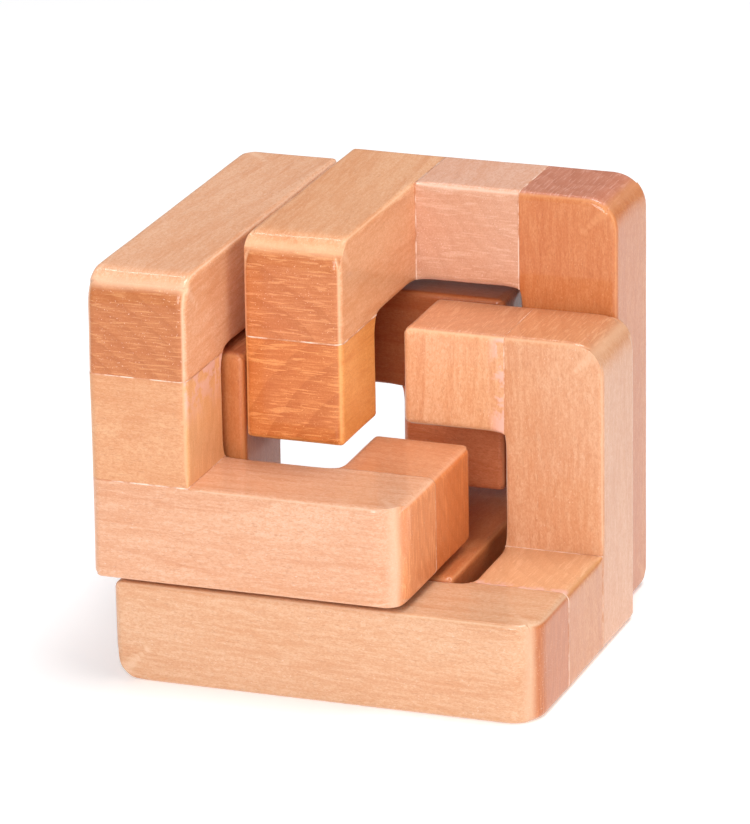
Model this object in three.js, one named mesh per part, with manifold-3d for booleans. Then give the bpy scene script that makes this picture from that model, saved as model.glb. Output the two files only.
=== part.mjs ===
// Three-piece wooden burr puzzle, about a 60 mm cube. Millimetres, +Z up, -Y is the front.
// Each of the three pieces is the same shape: six square hardwood sticks glued end to side.
// The base piece stands on the table, and the left and back pieces are turned copies of it
// that hook through it and through each other.
import * as THREE from "three";
import { mergeVertices } from "three/addons/utils/BufferGeometryUtils.js";
import Module from "manifold-3d";

const wasm = await Module();
wasm.setup();

// Driving dimensions
const CUBE = 60; // side of the assembled puzzle
const STICK = 14; // side of every square stick
const SPACER = 15; // length of the block between the long bar and the cross bar
const CROSS_BAR = 44;
const TIP_BLOCK = 14.5; // reach of the block on the cross bar's end
const ARM_BAR = 43;
const ARM_BLOCK = 15; // length of the block under the arm bar's end
const GLUE = 0.1; // glue line left between two sticks

// Roundings
const SIDE_ROUND = 0.8; // along a stick
const END_ROUND = 1.2; // across the end of a stick
const BIG_ROUND = 4.5; // the three outer corners that are eased for the hand
const OVERSHOOT = 1; // how far a cutter runs past the end of a stick

// Where each loose piece rests, from its place in a perfectly centred cube.
const LEFT_REST = [-2.2, -1.5, -2.1];
const BACK_REST = [-2.6, -2.6, 0];

// The six sticks of one piece, as it sits in the cube when it is the left-hand piece.
// low and high are opposite corners, and run is the axis that the stick's grain follows.
const X = 0;
const Y = 1;
const Z = 2;
const TOP_OF_ARM = CUBE - STICK;
const TOP_OF_CROSS = CUBE - STICK - SPACER;
const STICKS = [
  {
    name: "long_bar",
    run: Y,
    low: [0, 0, CUBE - STICK],
    high: [STICK, CUBE, CUBE],
  },
  {
    name: "spacer_block",
    run: X,
    low: [0, 0, TOP_OF_CROSS + GLUE],
    high: [STICK, STICK, CUBE - STICK - GLUE],
  },
  {
    name: "cross_bar",
    run: X,
    low: [0, 0, TOP_OF_CROSS - STICK],
    high: [CROSS_BAR, STICK, TOP_OF_CROSS],
  },
  {
    name: "tip_block",
    run: X,
    low: [CROSS_BAR - STICK, STICK + GLUE, TOP_OF_CROSS - STICK],
    high: [CROSS_BAR, STICK + TIP_BLOCK, TOP_OF_CROSS],
  },
  {
    name: "arm_bar",
    run: X,
    low: [0, CUBE - STICK, TOP_OF_ARM - STICK],
    high: [ARM_BAR, CUBE, TOP_OF_ARM - GLUE],
  },
  {
    name: "arm_block",
    run: X,
    low: [ARM_BAR - ARM_BLOCK, CUBE - STICK, TOP_OF_ARM - 2 * STICK],
    high: [ARM_BAR, CUBE, TOP_OF_ARM - STICK - GLUE],
  },
];

// The edges with a big rounding: which way the edge runs and a point that lies on it.
const BIG_EDGES = [
  { along: X, through: [null, 0, CUBE] },
  { along: Z, through: [0, CUBE, null] },
  { along: Z, through: [CROSS_BAR, 0, null] },
];

function solidFrom(geometry) {
  const bare = new THREE.BufferGeometry();
  bare.setAttribute("position", geometry.getAttribute("position"));
  bare.setIndex(geometry.index);
  const merged = mergeVertices(bare, 1e-4);
  return new wasm.Manifold(
    new wasm.Mesh({
      numProp: 3,
      vertProperties: new Float32Array(merged.attributes.position.array),
      triVerts: new Uint32Array(merged.index.array),
    }),
  );
}

function geometryFrom(solid) {
  const mesh = solid.getMesh();
  const geometry = new THREE.BufferGeometry();
  const points = new Float32Array(mesh.numVert * 3);
  for (let i = 0; i < mesh.numVert; i++) {
    points.set(mesh.vertProperties.subarray(i * mesh.numProp, i * mesh.numProp + 3), i * 3);
  }
  geometry.setAttribute("position", new THREE.BufferAttribute(points, 3));
  geometry.setIndex(new THREE.BufferAttribute(new Uint32Array(mesh.triVerts), 1));
  const faceted = geometry.toNonIndexed();
  faceted.computeVertexNormals();
  return faceted;
}

// Is this point inside any stick of the piece? The glue lines count as wood.
function isWood(point) {
  return STICKS.some((stick) =>
    point.every(
      (value, axis) => value > stick.low[axis] - 2 * GLUE && value < stick.high[axis] + 2 * GLUE,
    ),
  );
}

function roundingOf(stick, along, corner) {
  const big = BIG_EDGES.some(
    (edge) =>
      edge.along === along &&
      edge.through.every(
        (value, axis) => value === null || Math.abs(value - corner[axis]) < 2 * GLUE,
      ),
  );
  if (big) return BIG_ROUND;
  return along === stick.run ? SIDE_ROUND : END_ROUND;
}

// The stretches of one stick edge that are outside corners of the whole piece. Where another
// stick is glued on beside the edge, the two are sanded flush and nothing is rounded.
function outsideStretches(stick, along, corner, outward) {
  const cuts = new Set([stick.low[along], stick.high[along]]);
  for (const other of STICKS) {
    for (const end of [other.low[along], other.high[along]]) {
      if (end > stick.low[along] + 1 && end < stick.high[along] - 1) cuts.add(end);
    }
  }
  const ends = [...cuts].sort((a, b) => a - b);
  const [u, v] = [X, Y, Z].filter((axis) => axis !== along);
  const stretches = [];
  for (let i = 0; i + 1 < ends.length; i++) {
    const beside = (stepU, stepV) => {
      const point = [...corner];
      point[along] = (ends[i] + ends[i + 1]) / 2;
      point[u] += stepU * outward[u];
      point[v] += stepV * outward[v];
      return isWood(point);
    };
    if (beside(1, -1) || beside(-1, 1) || beside(1, 1)) continue;
    const last = stretches.at(-1);
    if (last && last[1] === ends[i]) last[1] = ends[i + 1];
    else stretches.push([ends[i], ends[i + 1]]);
  }
  return stretches;
}

// The corner waste outside a quarter-round, in the plane of the edge's two faces.
function wasteOutline(radius) {
  const outline = new THREE.Shape();
  const reach = radius + OVERSHOOT;
  outline.moveTo(radius, 0);
  outline.lineTo(reach, 0);
  outline.lineTo(reach, reach);
  outline.lineTo(0, reach);
  outline.lineTo(0, radius);
  outline.absarc(0, 0, radius, Math.PI / 2, 0, true);
  return outline;
}

function edgeCutter(stick, along, corner, outward, radius, [from, to]) {
  const [u, v] = [X, Y, Z].filter((axis) => axis !== along);
  const start = from === stick.low[along] ? from - OVERSHOOT : from;
  const end = to === stick.high[along] ? to + OVERSHOOT : to;
  const bar = new THREE.ExtrudeGeometry(wasteOutline(radius), {
    depth: end - start,
    bevelEnabled: false,
    curveSegments: radius > 2 ? 10 : 4,
  });
  const basis = [X, Y, Z].map(() => new THREE.Vector3());
  basis[0].setComponent(u, outward[u]);
  basis[1].setComponent(v, outward[v]);
  basis[2].crossVectors(basis[0], basis[1]);
  const origin = new THREE.Vector3();
  origin.setComponent(u, corner[u] - outward[u] * radius);
  origin.setComponent(v, corner[v] - outward[v] * radius);
  origin.setComponent(along, basis[2].getComponent(along) > 0 ? start : end);
  const place = new THREE.Matrix4().makeBasis(...basis).setPosition(origin);
  return solidFrom(bar.applyMatrix4(place));
}

function stickSolid(stick) {
  const size = stick.high.map((value, axis) => value - stick.low[axis]);
  const middle = stick.high.map((value, axis) => (value + stick.low[axis]) / 2);
  const blank = new THREE.BoxGeometry(...size);
  blank.translate(...middle);
  let solid = solidFrom(blank);
  for (const along of [X, Y, Z]) {
    const [u, v] = [X, Y, Z].filter((axis) => axis !== along);
    for (const [sideU, sideV] of [[-1, -1], [1, -1], [1, 1], [-1, 1]]) {
      const corner = [...middle];
      const outward = [0, 0, 0];
      corner[u] = sideU > 0 ? stick.high[u] : stick.low[u];
      corner[v] = sideV > 0 ? stick.high[v] : stick.low[v];
      outward[u] = sideU;
      outward[v] = sideV;
      const radius = roundingOf(stick, along, corner);
      for (const stretch of outsideStretches(stick, along, corner, outward)) {
        const cutter = edgeCutter(stick, along, corner, outward, radius, stretch);
        solid = solid.subtract(cutter);
      }
    }
  }
  return solid;
}

// Wood tones, one for each stick of a piece: the sticks come from different boards.
const TONES = {
  long_bar: 0xe0a67c,
  spacer_block: 0xd89a6e,
  cross_bar: 0xe6b088,
  tip_block: 0xd99a6c,
  arm_bar: 0xdca075,
  arm_block: 0xcf8e62,
};

const shapes = {};
for (const stick of STICKS) {
  shapes[stick.name] = geometryFrom(stickSolid(stick));
}

function burrPiece(title) {
  const piece = new THREE.Group();
  for (const stick of STICKS) {
    const wood = new THREE.MeshStandardMaterial({
      color: TONES[stick.name],
      roughness: 0.45,
      metalness: 0,
    });
    const mesh = new THREE.Mesh(shapes[stick.name], wood);
    mesh.name = `${title}_${stick.name}`;
    piece.add(mesh);
  }
  return piece;
}

// A third of a turn about the cube's diagonal takes the left piece to the base piece's
// place, and another third takes it to the back piece's place.
const THIRD_TURN = new THREE.Matrix4().set(
  0, -1, 0, CUBE,
  0, 0, -1, CUBE,
  1, 0, 0, 0,
  0, 0, 0, 1,
);

function placed(piece, thirds, rest) {
  const turn = new THREE.Matrix4();
  for (let i = 0; i < thirds; i++) turn.multiply(THIRD_TURN);
  const shift = new THREE.Matrix4().makeTranslation(...rest);
  piece.matrix.copy(shift.multiply(turn));
  piece.matrixAutoUpdate = false;
  return piece;
}

const puzzle = new THREE.Group();
puzzle.add(placed(burrPiece("left"), 0, LEFT_REST));
puzzle.add(placed(burrPiece("base"), 1, [0, 0, 0]));
puzzle.add(placed(burrPiece("back"), 2, BACK_REST));

// The origin is on the table, under the middle of the puzzle's outer box: the left piece
// makes its left and front sides, the base piece its right side, and the left piece its back.
const leftSide = LEFT_REST[X];
const frontSide = LEFT_REST[Y];
const backSide = CUBE + Math.max(LEFT_REST[Y], BACK_REST[Y]);
puzzle.position.set(-(leftSide + CUBE) / 2, -(frontSide + backSide) / 2, 0);

export default puzzle;
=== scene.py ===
import math

import bmesh
import bpy
import numpy as np
from mathutils import Matrix, Vector, noise


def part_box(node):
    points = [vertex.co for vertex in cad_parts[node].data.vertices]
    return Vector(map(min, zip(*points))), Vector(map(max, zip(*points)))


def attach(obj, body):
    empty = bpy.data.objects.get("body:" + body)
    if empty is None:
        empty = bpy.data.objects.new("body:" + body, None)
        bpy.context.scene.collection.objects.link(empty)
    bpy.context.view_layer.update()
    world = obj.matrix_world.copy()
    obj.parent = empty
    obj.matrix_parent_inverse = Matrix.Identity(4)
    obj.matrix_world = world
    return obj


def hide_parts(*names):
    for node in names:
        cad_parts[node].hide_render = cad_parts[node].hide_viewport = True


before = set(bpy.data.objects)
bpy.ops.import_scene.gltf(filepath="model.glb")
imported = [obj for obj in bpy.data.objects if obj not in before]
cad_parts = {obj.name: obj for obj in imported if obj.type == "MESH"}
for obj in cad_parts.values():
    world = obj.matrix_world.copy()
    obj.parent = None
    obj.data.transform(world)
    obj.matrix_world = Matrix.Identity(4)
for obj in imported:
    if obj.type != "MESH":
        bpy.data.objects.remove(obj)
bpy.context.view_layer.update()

# ---------------------------------------------------------------------------------------
# Base piece: stands on the table, with its long bar along the front. It is six square
# sticks of pale, close-grained hardwood, glued end to side and sanded flush. Every outside
# edge is eased by hand, and the whole piece has a satin clear lacquer.
# ---------------------------------------------------------------------------------------
MM = 0.001
X, Y, Z = 0, 1, 2

# All three pieces are glued up alike. Their sticks are worked out as they lie in the left
# piece and then turned. Each stick's grain runs along one axis of that place.
GRAIN_AXIS = {
    "long_bar": Y,
    "spacer_block": X,
    "cross_bar": X,
    "tip_block": X,
    "arm_bar": X,
    "arm_block": X,
}
TOUCHING = 0.25  # two faces this close are glued
BESIDE = 1.0  # how far from an edge to look for the next stick
HAIR = 1e-6


def unturned_box(stick):
    low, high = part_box("left_" + stick)
    return np.array(low) / MM, np.array(high) / MM


STICKS = {stick: unturned_box(stick) for stick in GRAIN_AXIS}
long_low, long_high = STICKS["long_bar"]
cross_low, cross_high = STICKS["cross_bar"]

# How round the edges are: along a stick, across its end, and at the three outer corners
# that are rounded for the hand, each given by the way it runs and a point on it.
SIDE_EASING = 0.75
END_EASING = 1.15
BIG_EASING = 4.6
BIG_EDGES = [
    (X, {Y: long_low[Y], Z: long_high[Z]}),
    (Z, {X: long_low[X], Y: long_high[Y]}),
    (Z, {X: cross_high[X], Y: cross_low[Y]}),
]
FADE = 2.2  # over this length an easing runs out where a stick is glued on

# What hand sanding leaves: edges that are rounder in one place and sharper in another, and
# faces that are not quite flat. A pace is how quickly that changes from mm to mm.
EASING_SPREAD = 0.22
EASING_PACE = 0.11
WAVINESS = 0.03
WAVINESS_PACE = 0.09
MISFIT = 0.035  # how far a stick may sit off its place

NEAR_EDGE = [0, 0.10, 0.22, 0.36, 0.53, 0.75, 1.0, 1.35, 1.8, 2.35, 3.0, 3.75, 4.6]
MESH_STEP = 1.8
THIN = 1.0  # a block thinner than this has no mesh lines between its faces


def other_axes(along):
    return [k for k in (X, Y, Z) if k != along]


def inside_piece(point):
    return any(
        all(low[k] - TOUCHING < point[k] < high[k] + TOUCHING for k in (X, Y, Z))
        for low, high in STICKS.values()
    )


def easing_radius(along, corner):
    """How round an edge of the glued piece is sanded."""
    for axis, place in BIG_EDGES:
        if axis == along and all(abs(corner[k] - v) < TOUCHING for k, v in place.items()):
            return BIG_EASING
    for stick, (low, high) in STICKS.items():
        touches = all(min(abs(corner[k] - low[k]), abs(corner[k] - high[k])) < TOUCHING
                      for k in other_axes(along))
        if touches and GRAIN_AXIS[stick] != along:
            return END_EASING
    return SIDE_EASING


def outside_stretches(low, high, along, corner, outward):
    """The parts of a stick's edge that are outside corners of the whole glued piece: where
    each starts and ends, and whether a wall of wood stands before and after it."""
    cuts = {low[along], high[along]}
    for other_low, other_high in STICKS.values():
        for end in (other_low[along], other_high[along]):
            if low[along] + BESIDE < end < high[along] - BESIDE:
                cuts.add(end)
    u, v = other_axes(along)

    def walled(t):
        """Is there wood beside the edge at place t?"""
        for step_u, step_v in ((1, -1), (-1, 1), (1, 1)):
            point = np.array(corner, float)
            point[along] = t
            point[u] += BESIDE * step_u * outward[u]
            point[v] += BESIDE * step_v * outward[v]
            if inside_piece(point):
                return True
        return False

    ends = sorted(cuts)
    found = []
    for start, end in zip(ends, ends[1:]):
        if walled((start + end) / 2):
            continue
        if found and abs(found[-1][1] - start) < HAIR:
            found[-1][1] = end
        else:
            found.append([start, end])
    return [(start, end, walled(start - BESIDE), walled(end + BESIDE))
            for start, end in found]


def radius_at(stretches, radius, t):
    """Easing radius at place t of an edge: it runs out smoothly where a stick is glued on."""
    best = 0.0
    for start, end, wall_before, wall_after in stretches:
        if start - HAIR <= t <= end + HAIR:
            share = 1.0
            if wall_before:
                share = min(share, (t - start) / FADE)
            if wall_after:
                share = min(share, (end - t) / FADE)
            best = max(best, radius * math.sqrt(max(0.0, share)))
    return best


def grid_lines(low, high):
    """Places of the mesh lines along one side: close together near both edges."""
    span = high - low
    if span < THIN:
        return [low, high]
    steps = max(2, round((span - 2 * NEAR_EDGE[-1]) / MESH_STEP))
    middle = np.linspace(NEAR_EDGE[-1], span - NEAR_EDGE[-1], steps + 1)
    places = NEAR_EDGE + list(middle[1:-1]) + [span - n for n in reversed(NEAR_EDGE)]
    return [low + p for p in places]


def carve(bm, low, high, turn, shift):
    """Adds one block to bm, eased and slightly wavy as hand-sanded wood is."""
    # How near each point lies to the middle of an eased edge, where a paler line is painted as
    # a highlight.
    edge_middle = bm.verts.layers.float.get("eased_edge_middle") or bm.verts.layers.float.new("eased_edge_middle")
    lines = [grid_lines(low[k], high[k]) for k in (X, Y, Z)]
    counts = [len(row) for row in lines]
    centre = (low + high) / 2
    edges = {}
    for along in (X, Y, Z):
        u, v = other_axes(along)
        for side_u in (-1, 1):
            for side_v in (-1, 1):
                corner = centre.copy()
                corner[u] = high[u] if side_u > 0 else low[u]
                corner[v] = high[v] if side_v > 0 else low[v]
                outward = [0, 0, 0]
                outward[u] = side_u
                outward[v] = side_v
                stretches = outside_stretches(low, high, along, corner, outward)
                edges[along, side_u, side_v] = (stretches, easing_radius(along, corner))

    def eased(point):
        out = np.array(point, float)
        moved = 0.0
        for along in (Z, Y, X):
            u, v = other_axes(along)
            side_u = 1 if out[u] > centre[u] else -1
            side_v = 1 if out[v] > centre[v] else -1
            stretches, radius = edges[along, side_u, side_v]
            r = radius_at(stretches, radius, point[along])
            if r <= 0:
                continue
            r *= 1 + EASING_SPREAD * noise.noise(Vector(point) * EASING_PACE)
            near_u = (high[u] - out[u]) if side_u > 0 else (out[u] - low[u])
            near_v = (high[v] - out[v]) if side_v > 0 else (out[v] - low[v])
            inward_u = r - near_u
            inward_v = r - near_v
            if inward_u <= 0 or inward_v <= 0:
                continue
            scale = max(inward_u, inward_v) / math.hypot(inward_u, inward_v)
            out[u] -= side_u * inward_u * (1 - scale)
            out[v] -= side_v * inward_v * (1 - scale)
            moved = max(moved, min(inward_u, inward_v) / max(inward_u, inward_v))
        sway = noise.noise_vector(Vector(out) * WAVINESS_PACE) * WAVINESS
        return out + np.array(sway), moved

    made = {}

    def vertex(i, j, k):
        if (i, j, k) not in made:
            point, moved = eased((lines[X][i], lines[Y][j], lines[Z][k]))
            made[i, j, k] = bm.verts.new((turn @ Vector(point) + shift) * MM)
            made[i, j, k][edge_middle] = moved
        return made[i, j, k]

    for axis in (X, Y, Z):
        u, v = other_axes(axis)
        for end in (0, counts[axis] - 1):
            for a in range(counts[u] - 1):
                for b in range(counts[v] - 1):
                    ring = []
                    for step_a, step_b in ((0, 0), (1, 0), (1, 1), (0, 1)):
                        index = [0, 0, 0]
                        index[axis] = end
                        index[u] = a + step_a
                        index[v] = b + step_b
                        ring.append(vertex(*index))
                    bm.faces.new(ring)


def finished(bm, name, material, body):
    """Turns bm into a smooth-shaded piece that rides on a body."""
    bmesh.ops.recalc_face_normals(bm, faces=bm.faces)
    for face in bm.faces:
        face.smooth = True
    mesh = bpy.data.meshes.new(name)
    bm.to_mesh(mesh)
    bm.free()
    mesh.materials.append(material)
    obj = bpy.data.objects.new(name, mesh)
    bpy.context.scene.collection.objects.link(obj)
    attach(obj, body)
    return obj


class Value:
    """A number that varies over the surface: a node's output socket."""

    def __init__(self, shader, socket):
        self.shader = shader
        self.socket = socket

    def _math(self, operation, *inputs):
        return self.shader.node("ShaderNodeMath", {"operation": operation},
                                dict(enumerate(inputs)))

    def __add__(self, other):
        return self._math("ADD", self, other)

    __radd__ = __add__

    def __sub__(self, other):
        return self._math("SUBTRACT", self, other)

    def __rsub__(self, other):
        return self._math("SUBTRACT", other, self)

    def __mul__(self, other):
        return self._math("MULTIPLY", self, other)

    __rmul__ = __mul__

    def __truediv__(self, other):
        return self._math("DIVIDE", self, other)

    def __pow__(self, other):
        return self._math("POWER", self, other)

    def __abs__(self):
        return self._math("ABSOLUTE", self)

    def fraction(self):
        return self._math("FRACT", self)

    def clamped(self):
        return self.shader.node("ShaderNodeClamp", {}, {"Value": self})

    def between(self, start, full):
        """0 below start, 1 above full, and smooth in between."""
        return self.shader.node(
            "ShaderNodeMapRange", {"interpolation_type": "SMOOTHSTEP"},
            {"Value": self, "From Min": start, "From Max": full})


class Shader:
    """A material under construction."""

    def __init__(self, name):
        self.material = bpy.data.materials.new(name)
        self.material.use_nodes = True
        self.tree = self.material.node_tree
        self.surface = self.tree.nodes["Principled BSDF"]

    def node(self, kind, settings, inputs, output=0):
        made = self.tree.nodes.new(kind)
        for key, value in settings.items():
            setattr(made, key, value)
        self.feed(made, inputs)
        return Value(self, made.outputs[output])

    def feed(self, made, inputs):
        for key, value in inputs.items():
            socket = made.inputs[key]
            if isinstance(value, Value):
                self.tree.links.new(value.socket, socket)
            elif socket.type == "RGBA":
                socket.default_value = (*value, 1.0)
            else:
                socket.default_value = value

    def mix(self, factor, first, second, blend="MIX"):
        """Blends two colours. The node numbers its colour sockets after its other kinds."""
        settings = {"data_type": "RGBA", "blend_type": blend}
        return self.node("ShaderNodeMix", settings, {0: factor, 6: first, 7: second}, output=2)

    def lay(self, colour, tone, mask, share):
        """The colour with a share of a tone over it where the mask is."""
        return self.mix(mask * share, colour, tone)

    def noise(self, where, scale, detail, roughness=0.5):
        return self.node("ShaderNodeTexNoise", {}, {
            "Vector": where, "Scale": scale, "Detail": detail, "Roughness": roughness})

    def dot(self, where, direction):
        return self.node("ShaderNodeVectorMath", {"operation": "DOT_PRODUCT"},
                         {0: where, 1: tuple(direction)}, output="Value")

    def place(self):
        return self.node("ShaderNodeTexCoord", {}, {}, output="Object")

    def facing(self):
        return self.node("ShaderNodeTexCoord", {}, {}, output="Normal")

    def bump(self, height, strength, distance):
        return self.node("ShaderNodeBump", {}, {
            "Height": height, "Strength": strength, "Distance": distance})


def srgb(red, green, blue):
    """A colour as read off a paint chart, 0 to 255, as linear light."""
    channels = []
    for c in (red, green, blue):
        c /= 255
        channels.append(c / 12.92 if c <= 0.04045 else ((c + 0.055) / 1.055) ** 2.4)
    return tuple(channels)


def toned(colour, tint):
    return tuple(min(1.0, c * t) for c, t in zip(colour, tint))


def along_axis(axis):
    return Vector([1.0 if k == axis else 0.0 for k in (X, Y, Z)])


# Noise lies evenly around this value.
NOISE_MIDDLE = 0.5

# How a stick is cut from its board: how far its fibres lean off its own line, how far apart
# in the board two sticks may lie, and how far the growth rings wander, in mm. The rings lean
# less one way than the other.
GRAIN_TILT = 0.06
BOARD_REACH = 40.0
RINGS_WANDER = (12.0, 8.0)
LEAN_SHARE = 0.5
SAW_MARK_DEPTH = 0.02  # how slowly the saw's marks change with depth

# Tones of the side grain, as shares of its red, green and blue.
PALE = (1.05, 1.12, 1.18)
DEEP = (0.90, 0.76, 0.64)
LATE_WOOD = (0.82, 0.60, 0.44)
OPEN_PORE = (0.66, 0.48, 0.34)
FINE_SHADE = (0.94, 0.88, 0.82)
# Painted highlight, not a tone of the wood: tiny bright glints of light in the lacquer.
PAINTED_GLINT = (1.15, 1.45, 1.80)
# Painted highlight along the middle of each eased edge, where the lacquer catches the light;
# partly rubbed wear as well.
EDGE_SHEEN_AND_WEAR = (1.12, 1.28, 1.40)

# Tones of the end grain, as changes to its red, green and blue that grow with the figure.
END_DEEP = (-0.18, -0.34, -0.44)
END_BROWN = (-0.30, -0.48, -0.60)
END_PALE = (0.12, 0.24, 0.36)

# The lacquer: the roughness of the wood under it, what each mark adds to that, how high
# each mark stands as a share of the relief, and the clear coat itself.
SATIN = 0.36
MOTTLE_DULLS = 0.18
SPECKLE_DULLS = 0.16
END_GRAIN_DULLS = 0.10
GLUE_SHINES = 0.14
SIDE_RELIEF = {"fibres": 0.45, "speckle": 0.5, "streak": 0.4, "pores": -0.9}
END_RELIEF = {"saw": 1.1, "speckle": 0.7, "scratch": -0.3}
GLINT_RELIEF = 0.5
GLUE_RELIEF = 1.2
RELIEF_STRENGTH = 0.45
RELIEF_HEIGHT = 0.08 * MM
LACQUER = {"Coat Weight": 0.40, "Coat Roughness": 0.09, "Specular IOR Level": 0.30, "IOR": 1.5}

WIPED_GLUE = srgb(240, 190, 176)
WIPED_GLUE_SHOWS = 0.85


class Board:
    """The board that a stick is cut from. u runs along its fibres, and v and w run across
    them, all in mm from the stick's centre."""

    def __init__(self, shader, grain, centre, rng):
        self.shader = shader
        self.place = shader.place()
        self.facing = shader.facing()
        across = Vector((grain.y, grain.z, grain.x))
        through = grain.cross(across)
        tilt = rng.uniform(-GRAIN_TILT, GRAIN_TILT, 2)
        fibre = (grain + across * tilt[0] + through * tilt[1]).normalized()
        self.across = (across - fibre * fibre.dot(across)).normalized()
        self.through = fibre.cross(self.across)
        self.offset = rng.uniform(-BOARD_REACH, BOARD_REACH, 3)
        self.u = self.distance_along(fibre, fibre.dot(centre))
        self.v = self.distance_along(self.across, self.across.dot(centre))
        self.w = self.distance_along(self.through, self.through.dot(centre))
        across_grain = abs(shader.dot(self.facing, grain))
        self.end_mask = across_grain.between(start=0.45, full=0.93)

    def distance_along(self, direction, level):
        return self.shader.dot(self.place, direction) * (1 / MM) - float(level)

    def marks(self, stretch, scale, detail, roughness=0.5, shift=0.0):
        """Marks in the wood, drawn out along the fibres: the smaller stretch is, the longer
        they are. Each kind has its own shift, so that no two kinds lie together."""
        where = self.shader.node("ShaderNodeCombineXYZ", {}, {
            "X": self.u * stretch + float(self.offset[X] + shift),
            "Y": self.v + float(self.offset[Y] + shift),
            "Z": self.w + float(self.offset[Z])})
        return self.shader.noise(where, scale, detail, roughness)

    def saw_marks(self, stretch, shift, scale, detail, roughness=0.5):
        """Marks that a saw leaves on the end grain, which run across the stick."""
        where = self.shader.node("ShaderNodeCombineXYZ", {}, {
            "X": self.v * stretch + shift, "Y": self.w + shift, "Z": self.u * SAW_MARK_DEPTH})
        return self.shader.noise(where, scale, detail, roughness)

    def every_mark(self):
        """Marks that the tree and the saw left in the stick, and glints: painted highlights."""
        pores = self.marks(stretch=0.12, scale=7.5, detail=1.0, shift=13.0)
        glints = self.marks(stretch=0.7, scale=4.6, detail=1.0, shift=29.0)
        scratch = self.saw_marks(stretch=0.10, shift=17.0, scale=3.4, detail=1.0)
        patches = self.marks(stretch=0.03, scale=0.22, detail=1.0)
        return {
            "broad": self.marks(stretch=0.16, scale=0.11, detail=3.0, roughness=0.55),
            "streak": self.marks(stretch=0.035, scale=0.9, detail=3.0, roughness=0.6),
            "fibres": self.marks(stretch=0.10, scale=1.8, detail=4.0, roughness=0.75),
            "mottle": self.marks(stretch=0.45, scale=0.8, detail=4.0, roughness=0.6),
            "speckle": self.marks(stretch=0.55, scale=2.3, detail=3.0, roughness=0.8,
                                  shift=7.0),
            "fine": self.marks(stretch=0.5, scale=5.2, detail=2.0, roughness=0.6, shift=41.0),
            "pores": pores.between(start=0.64, full=0.74),
            "glints": glints.between(start=0.69, full=0.76),
            "patches": patches.between(start=0.30, full=0.75),
            "saw": self.saw_marks(stretch=0.06, shift=3.0, scale=2.3, detail=4.0,
                                  roughness=0.8),
            "scratch": scratch.between(start=0.58, full=0.66),
        }

    def late_wood(self, pith, ring, lean):
        """Growth rings around the pith: each darkens slowly and ends sharply."""
        drift = self.marks(stretch=0.10, scale=0.055, detail=2.0) - NOISE_MIDDLE
        pith_v = self.across.dot(Vector(pith))
        pith_w = self.through.dot(Vector(pith))
        away_v = self.v - pith_v + self.u * lean + drift * RINGS_WANDER[0]
        away_w = self.w - pith_w + self.u * (lean * LEAN_SHARE) + drift * RINGS_WANDER[1]
        distance = (away_v * away_v + away_w * away_w) ** 0.5
        within_ring = (distance / ring).fraction()
        darkening = within_ring.between(start=0.30, full=0.93)
        return darkening * (1 - within_ring.between(start=0.93, full=1.0))

    def wiped_glue(self, axis, level, reach, face):
        """Glue squeezed from the joint at a level and wiped along one face, in patches."""
        gap = abs(self.distance_along(along_axis(axis), level))
        towards = self.shader.dot(self.facing, face).between(start=0.6, full=0.9)
        patches = self.shader.noise(self.place, scale=480.0, detail=3.0, roughness=0.6)
        near = 1 - gap.between(start=0.2, full=reach)
        return near * patches.between(start=0.42, full=0.56) * towards


def side_grain(shader, marks, late, side, figure):
    """Colour along the fibres: pale wood with deeper streaks, late wood and open pores."""
    pale = toned(side, PALE)
    deep = toned(side, DEEP)
    streaked = marks["streak"].between(start=0.42, full=0.66)
    fibrous = marks["fibres"].between(start=0.42, full=0.60)
    mottled = marks["mottle"].between(start=0.48, full=0.80)
    speckled = marks["speckle"].between(start=0.46, full=0.58)
    colour = shader.mix(marks["broad"].between(start=0.30, full=0.70), deep, pale)
    colour = shader.lay(colour, deep, streaked, share=0.45 * figure)
    colour = shader.lay(colour, toned(side, LATE_WOOD), late * marks["patches"],
                        share=0.40 + 0.45 * figure)
    colour = shader.lay(colour, pale, fibrous, share=0.60)
    colour = shader.lay(colour, deep, mottled, share=0.25)
    colour = shader.lay(colour, deep, speckled, share=0.55)
    return shader.lay(colour, toned(side, OPEN_PORE), marks["pores"], share=0.32)


def end_grain(shader, marks, late, end, figure):
    """Colour across the fibres: crowded rings, and the fine lines that the saw left."""
    deep, brown, pale = (
        toned(end, [1 + change * figure for change in changes])
        for changes in (END_DEEP, END_BROWN, END_PALE))
    sawn = marks["saw"].between(start=0.42, full=0.60)
    speckled = marks["speckle"].between(start=0.48, full=0.60)
    colour = shader.lay(deep, end, sawn, share=0.60)
    colour = shader.lay(colour, brown, late, share=0.52)
    colour = shader.lay(colour, deep, speckled, share=0.40)
    return shader.lay(colour, pale, marks["scratch"], share=0.60)


def lacquer(shader, board, marks, colour, smears):
    """Finishes the coloured wood: any wiped glue, and satin lacquer over the relief."""
    gloss = SATIN + (marks["mottle"] - NOISE_MIDDLE) * MOTTLE_DULLS
    gloss = gloss + (marks["speckle"] - NOISE_MIDDLE) * SPECKLE_DULLS
    gloss = gloss + board.end_mask * END_GRAIN_DULLS
    side_relief = sum(marks[mark] * height for mark, height in SIDE_RELIEF.items())
    end_relief = sum(marks[mark] * height for mark, height in END_RELIEF.items())
    relief = side_relief * (1 - board.end_mask) + end_relief * board.end_mask
    relief = relief + marks["glints"] * GLINT_RELIEF
    if smears:
        smeared = sum(board.wiped_glue(**smear) for smear in smears).clamped()
        colour = shader.lay(colour, WIPED_GLUE, smeared, share=WIPED_GLUE_SHOWS)
        gloss = gloss - smeared * GLUE_SHINES
        relief = relief + smeared * GLUE_RELIEF
    bump = shader.bump(relief, RELIEF_STRENGTH, RELIEF_HEIGHT)
    shader.feed(shader.surface, LACQUER)
    shader.feed(shader.surface, {
        "Base Color": colour, "Roughness": gloss.clamped(), "Normal": bump})


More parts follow.
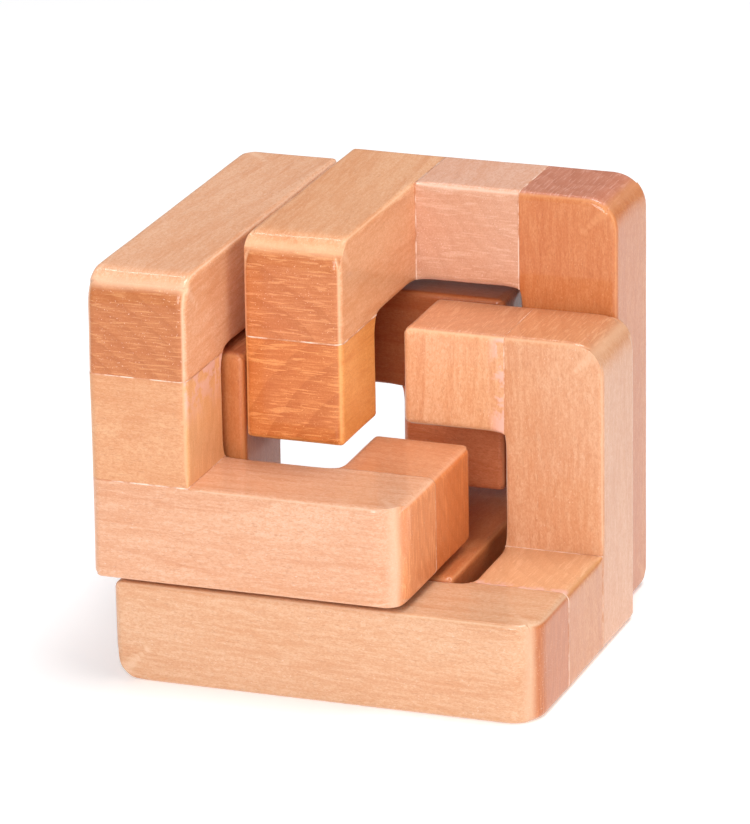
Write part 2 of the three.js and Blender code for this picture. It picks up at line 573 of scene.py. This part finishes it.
def wood(name, side, end, grain, centre, seed, pith, ring=2.6, figure=1.0, lean=0.05,
         smears=()):
    """Lacquered hardwood. side and end are its colours along and across the grain, grain is
    the direction of the fibres, and pith is where the middle of the tree lies from the
    stick's centre, in mm, so that the growth rings curve. ring is their width, lean is how
    fast they drift off the stick's own line, and figure is how strongly the grain shows."""
    shader = Shader(name)
    board = Board(shader, grain, centre, np.random.default_rng(seed))
    marks = board.every_mark()
    late = board.late_wood(pith, ring, lean)
    colour = shader.mix(board.end_mask, side_grain(shader, marks, late, side, figure),
                        end_grain(shader, marks, late, end, figure))
    shaded = marks["fine"].between(start=0.44, full=0.58)
    colour = shader.mix(shaded, colour, FINE_SHADE, "MULTIPLY")
    # Painted highlights: tiny glints of light painted paler into the colour; the same specks
    # also raise the relief.
    colour = shader.lay(colour, toned(side, PAINTED_GLINT), marks["glints"], share=0.50)
    # Painted highlight: a paler line along the middle of each eased edge, standing in for light
    # caught by the lacquer, with some rubbed wear as well.
    edge_middle = shader.node("ShaderNodeAttribute", {"attribute_name": "eased_edge_middle"}, {}, output="Fac")
    edge_sheen_and_wear = edge_middle.between(start=0.45, full=0.97)
    colour = shader.lay(colour, toned(side, EDGE_SHEEN_AND_WEAR), edge_sheen_and_wear, share=0.50)
    lacquer(shader, board, marks, colour, smears)
    return shader.material


THIN_GLUE = srgb(206, 138, 98)
THICK_GLUE = srgb(248, 216, 196)
THIN_GLUE_ROUGHNESS = 0.22
THICK_GLUE_DULLS = 0.2


def dried_glue():
    """Wood glue: the wood shows through it where it is thin, and it is milky where thick."""
    shader = Shader("dried_glue")
    thick = shader.noise(shader.place(), scale=260.0, detail=4.0, roughness=0.7)
    colour = shader.mix(thick.between(start=0.42, full=0.62), THIN_GLUE, THICK_GLUE)
    bump = shader.bump(thick, strength=0.3, distance=0.1 * MM)
    shader.feed(shader.surface, {
        "Base Color": colour, "Roughness": THIN_GLUE_ROUGHNESS + thick * THICK_GLUE_DULLS,
        "Normal": bump})
    return shader.material


GLUE = dried_glue()

# Each joint: the stick below, the stick above, and the axis that the joint is square to.
JOINTS = [
    ("spacer_block", "long_bar", Z),
    ("cross_bar", "spacer_block", Z),
    ("cross_bar", "tip_block", Y),
    ("arm_bar", "long_bar", Z),
    ("arm_block", "arm_bar", Z),
]
GLUE_BITE = 0.05  # how far the glue soaks into each stick


def glue_up(title, turn, looks, first_seed):
    """Makes the six sticks of one piece and the glue between them."""
    body = title + "_piece"
    low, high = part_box(title + "_long_bar")
    unturned_middle = Vector((long_low + long_high) / 2)
    shift = (Vector(low) + Vector(high)) / 2 / MM - turn @ unturned_middle
    for number, (stick, (low, high)) in enumerate(STICKS.items()):
        seed = first_seed + number
        misfit = Vector(np.random.default_rng(seed).uniform(-MISFIT, MISFIT, 3))
        bm = bmesh.new()
        carve(bm, low, high, turn, shift + misfit)
        grain = turn @ along_axis(GRAIN_AXIS[stick])
        centre = turn @ Vector((low + high) / 2) + shift
        material = wood(f"{title}_{stick}", grain=grain, centre=centre, seed=seed,
                        **looks[stick])
        obj = finished(bm, f"{title}_{stick}_wood", material, body)
        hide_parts(f"{title}_{stick}")
    bm = bmesh.new()
    for below, above, axis in JOINTS:
        low = np.maximum(STICKS[below][0], STICKS[above][0])
        high = np.minimum(STICKS[below][1], STICKS[above][1])
        low[axis] = STICKS[below][1][axis] - GLUE_BITE
        high[axis] = STICKS[above][0][axis] + GLUE_BITE
        carve(bm, low, high, turn, shift)
    finished(bm, f"{title}_glue_lines", GLUE, body)


# A third of a turn about the cube's diagonal takes the left piece to the base piece's place.
THIRD = Matrix(((0, -1, 0), (0, 0, -1), (1, 0, 0)))
FRONT = (0.0, -1.0, 0.0)
TOP = (0.0, 0.0, 1.0)

# Its sticks are the palest of the puzzle, straight-grained, and two of its joints have a
# little wiped glue beside them.
base_tip_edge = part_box("base_tip_block")[1].x / MM
base_long_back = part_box("base_long_bar")[1].y / MM
BASE_LOOKS = {
    "long_bar": dict(side=srgb(218, 173, 139), end=srgb(205, 128, 78), pith=(5, 26, -8),
                     ring=3.4, figure=0.6),
    "spacer_block": dict(side=srgb(208, 139, 86), end=srgb(233, 179, 136), pith=(30, 25, 10),
                         figure=0.45,
                         smears=[dict(axis=Y, level=base_long_back, reach=2.0, face=TOP)]),
    "cross_bar": dict(side=srgb(221, 168, 131), end=srgb(220, 157, 115), pith=(40, 18, 0),
                      ring=2.8, figure=0.7),
    "tip_block": dict(side=srgb(231, 178, 138), end=srgb(216, 154, 115), pith=(-20, 30, 0),
                      ring=2.4, figure=0.6,
                      smears=[dict(axis=X, level=base_tip_edge, reach=2.6, face=FRONT)]),
    "arm_bar": dict(side=srgb(206, 130, 80), end=srgb(206, 130, 88), pith=(35, 30, 0)),
    "arm_block": dict(side=srgb(222, 148, 100), end=srgb(206, 130, 88), pith=(30, -25, 0)),
}
glue_up("base", THIRD, BASE_LOOKS, first_seed=11)

# ---------------------------------------------------------------------------------------
# Left piece: six more sticks, glued alike. It hangs in the base piece, its cross bar over
# the base's long bar. Its long bar shows dark end grain at the front, its arm block, deep in
# the gap, is reddish, and glue is smeared down the inner side of its spacer block.
# ---------------------------------------------------------------------------------------
RIGHT = (1.0, 0.0, 0.0)
left_spacer_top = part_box("left_spacer_block")[1].z / MM
LEFT_LOOKS = {
    "long_bar": dict(side=srgb(242, 188, 152), end=srgb(205, 135, 85), pith=(-24, 0, -30),
                     ring=2.2),
    "spacer_block": dict(side=srgb(216, 159, 117), end=srgb(243, 187, 136), pith=(0, 17, -12),
                         ring=2.4, figure=0.4, lean=-0.25,
                         smears=[dict(axis=Z, level=left_spacer_top, reach=8.0, face=RIGHT)]),
    "cross_bar": dict(side=srgb(222, 173, 142), end=srgb(243, 167, 116), pith=(0, 15, 13),
                      ring=2.4, figure=0.7, lean=0.3),
    "tip_block": dict(side=srgb(215, 152, 114), end=srgb(230, 142, 84), pith=(0, 25, 25),
                      ring=2.2, figure=0.6),
    "arm_bar": dict(side=srgb(180, 104, 64), end=srgb(200, 122, 80), pith=(0, 35, 30)),
    "arm_block": dict(side=srgb(240, 150, 104), end=srgb(170, 96, 60), pith=(0, 25, -25),
                      ring=2.0),
}
glue_up("left", Matrix.Identity(3), LEFT_LOOKS, first_seed=31)

# ---------------------------------------------------------------------------------------
# Back piece: the last six sticks. Its long bar stands upright at the back right, and its
# cross bar comes over the top to the front. The tip block and the cross bar's front end
# show reddish end grain.
# ---------------------------------------------------------------------------------------
BACK_LOOKS = {
    "long_bar": dict(side=srgb(209, 135, 85), end=srgb(216, 151, 128), pith=(20, 34, 0),
                     ring=2.4),
    "spacer_block": dict(side=srgb(237, 186, 161), end=srgb(223, 174, 147), pith=(35, 0, 30),
                         ring=2.8, figure=0.5),
    "cross_bar": dict(side=srgb(240, 182, 140), end=srgb(214, 141, 89), pith=(-22, 0, -24),
                      ring=4.2, figure=1.1),
    "tip_block": dict(side=srgb(242, 168, 97), end=srgb(222, 145, 83), pith=(20, 0, -22),
                      ring=3.8, figure=1.2),
    "arm_bar": dict(side=srgb(204, 130, 84), end=srgb(196, 116, 76), pith=(30, 0, 30)),
    "arm_block": dict(side=srgb(206, 126, 84), end=srgb(196, 116, 76), pith=(25, 0, -25)),
}
glue_up("back", THIRD @ THIRD, BACK_LOOKS, first_seed=51)

# ---------------------------------------------------------------------------------------
# Studio: a pale table, a pale surround and soft lights, and a long-lens camera that looks
# down a little from the front, turned slightly to the right.
# ---------------------------------------------------------------------------------------
TABLE_REACH = 3.0
table_mesh = bpy.data.meshes.new("table")
bm = bmesh.new()
bmesh.ops.create_grid(bm, x_segments=2, y_segments=2, size=TABLE_REACH)
bm.to_mesh(table_mesh)
bm.free()
table = bpy.data.objects.new("table", table_mesh)
bpy.context.scene.collection.objects.link(table)
paper = Shader("pale_table")
paper.feed(paper.surface, {
    "Base Color": (0.93, 0.925, 0.94), "Roughness": 0.55,
    "Emission Color": (1.0, 1.0, 1.0), "Emission Strength": 0.28})
table_mesh.materials.append(paper.material)

bpy.context.scene.view_settings.view_transform = "Standard"
SURROUND_COLOUR = (0.97, 0.98, 1.0, 1)
SURROUND_STRENGTH = 0.18
world = bpy.data.worlds.new("studio")
bpy.context.scene.world = world
world.use_nodes = True
surround = world.node_tree.nodes["Background"]
surround.inputs["Color"].default_value = SURROUND_COLOUR
surround.inputs["Strength"].default_value = SURROUND_STRENGTH

MIDDLE = Vector((0.0, 0.0, 30.0)) * MM


def soft_box(name, place, size, watts, colour=(1, 1, 1)):
    """A soft rectangular light, in metres, aimed at the middle of the puzzle."""
    lamp = bpy.data.lights.new(name, "AREA")
    lamp.shape = "RECTANGLE"
    lamp.size, lamp.size_y = size
    lamp.energy = watts
    lamp.color = colour
    obj = bpy.data.objects.new(name, lamp)
    bpy.context.scene.collection.objects.link(obj)
    obj.location = place
    obj.rotation_euler = (Vector(place) - MIDDLE).to_track_quat("Z", "Y").to_euler()


soft_box("front_light", place=(0.12, -0.80, 0.42), size=(0.40, 0.40), watts=5.6)
soft_box("top_light", place=(0.14, 0.10, 0.80), size=(0.35, 0.35), watts=3.9)
soft_box("edge_light", place=(-0.29, 0.42, 0.76), size=(0.40, 0.04), watts=0.55)
soft_box("right_light", place=(0.8, -0.25, 0.35), size=(0.5, 0.5), watts=1.9,
         colour=(1.0, 0.90, 0.78))

AZIMUTH = math.radians(19.829)
ELEVATION = math.radians(19.103)
ROLL = math.radians(-0.783)
DISTANCE = 837.8 * MM
LENS = 267.842
SENSOR = 36.0
SHIFT_RIGHT = -0.025316
SHIFT_UP = 0.011104
NEAREST = 0.05
FARTHEST = 20.0
CAMERA_AIM = Vector((1.1, 1.5, 30.0)) * MM
toward = Vector((math.sin(AZIMUTH) * math.cos(ELEVATION),
                 -math.cos(AZIMUTH) * math.cos(ELEVATION), math.sin(ELEVATION)))
right = Vector((math.cos(AZIMUTH), math.sin(AZIMUTH), 0.0))
up = toward.cross(right)
rolled_right = right * math.cos(ROLL) + up * math.sin(ROLL)
rolled_up = up * math.cos(ROLL) - right * math.sin(ROLL)
camera_data = bpy.data.cameras.new("camera")
camera_data.sensor_width = SENSOR
camera_data.lens = LENS
camera_data.shift_x = SHIFT_RIGHT
camera_data.shift_y = SHIFT_UP
camera_data.clip_start = NEAREST
camera_data.clip_end = FARTHEST
camera = bpy.data.objects.new("camera", camera_data)
bpy.context.scene.collection.objects.link(camera)
turned = Matrix((rolled_right, rolled_up, toward)).transposed()
camera.matrix_world = Matrix.Translation(CAMERA_AIM + toward * DISTANCE) @ turned.to_4x4()
bpy.context.scene.camera = camera
